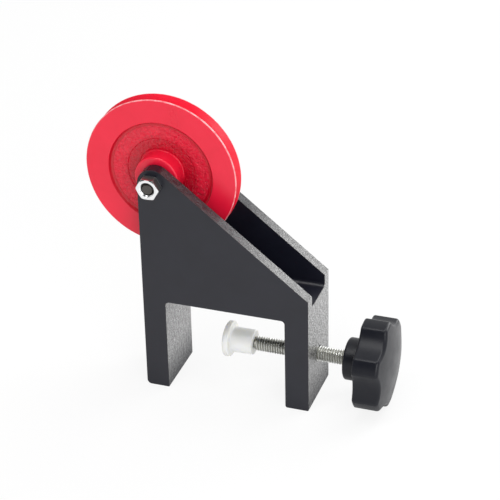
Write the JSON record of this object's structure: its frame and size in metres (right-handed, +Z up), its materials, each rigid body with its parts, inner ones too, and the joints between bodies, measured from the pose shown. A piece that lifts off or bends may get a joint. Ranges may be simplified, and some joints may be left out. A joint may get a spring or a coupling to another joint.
{
  "type": "bench clamp pulley",
  "caption": "Bench-clamp pulley for demonstrations: grooved wheel on ball bearings in a forked clamp frame, with a knob-driven clamp screw and a pressure foot.",
  "frame": {"origin": "on the ground under the axle, in the middle plane of the wheel, on the sole of the fixed jaw", "axes": "+Z up, +X from the fixed jaw to the knob, along the clamp screw, +Y along the axle to the rear"},
  "size_m": [0.1211, 0.0356, 0.1187],
  "materials": {
    "black_paint": "satin black paint",
    "red_plastic": "gloss red moulded plastic",
    "bright_plate": "bright plated",
    "zinc_plate": "zinc plated",
    "dark_steel": "oiled black oxide",
    "bearing_steel": "ground and polished",
    "cage_brass": "turned",
    "white_nylon": "natural white nylon",
    "black_plastic": "satin black moulded plastic"
  },
  "bodies": {
    "frame": {"clamp_frame": "black_paint", "axle_bolt": "dark_steel", "axle_nut": "bright_plate", "front_wall_spacer": "zinc_plate", "rear_wall_spacer": "zinc_plate", "bearing_spacer": "zinc_plate", "front_inner_ring": "bearing_steel", "rear_inner_ring": "bearing_steel"},
    "pulley": {"pulley_wheel": "red_plastic", "front_outer_ring": "bearing_steel", "rear_outer_ring": "bearing_steel", "front_outside_shield": "bearing_steel", "front_inside_shield": "bearing_steel", "rear_inside_shield": "bearing_steel", "rear_outside_shield": "bearing_steel"},
    "front_ball_set": {"front_balls": "bearing_steel", "front_cage": "cage_brass"},
    "rear_ball_set": {"rear_balls": "bearing_steel", "rear_cage": "cage_brass"},
    "foot": {"pressure_foot": "white_nylon"},
    "screw": {"clamp_screw": "zinc_plate", "knob_insert": "cage_brass", "knob": "black_plastic"}
  },
  "joints": [
    {"name": "pulley_spin", "type": "hinge", "parent": "frame", "child": "pulley", "pos_m": [0, 0, 0.0887], "axis": [0, 1, 0], "continuous": true},
    {"name": "front_balls_orbit", "type": "hinge", "parent": "frame", "child": "front_ball_set", "pos_m": [0, 0, 0.0887], "axis": [0, 1, 0], "continuous": true},
    {"name": "rear_balls_orbit", "type": "hinge", "parent": "frame", "child": "rear_ball_set", "pos_m": [0, 0, 0.0887], "axis": [0, 1, 0], "continuous": true},
    {"name": "foot_slide", "type": "slide", "parent": "frame", "child": "foot", "axis": [-1, 0, 0], "range_m": [-0.01601, 0.01131]},
    {"name": "screw_turn", "type": "hinge", "parent": "foot", "child": "screw", "pos_m": [0.0723, 0, 0.0186], "axis": [-1, 0, 0], "range_deg": [-5760, 4068]}
  ],
  "couplings": [
    {"joint": "front_balls_orbit", "follows": "pulley_spin", "ratio": 0.61111},
    {"joint": "rear_balls_orbit", "follows": "pulley_spin", "ratio": 0.61111},
    {"joint": "foot_slide", "follows": "screw_turn", "m_per_rad": 0.00015915}
  ]
}
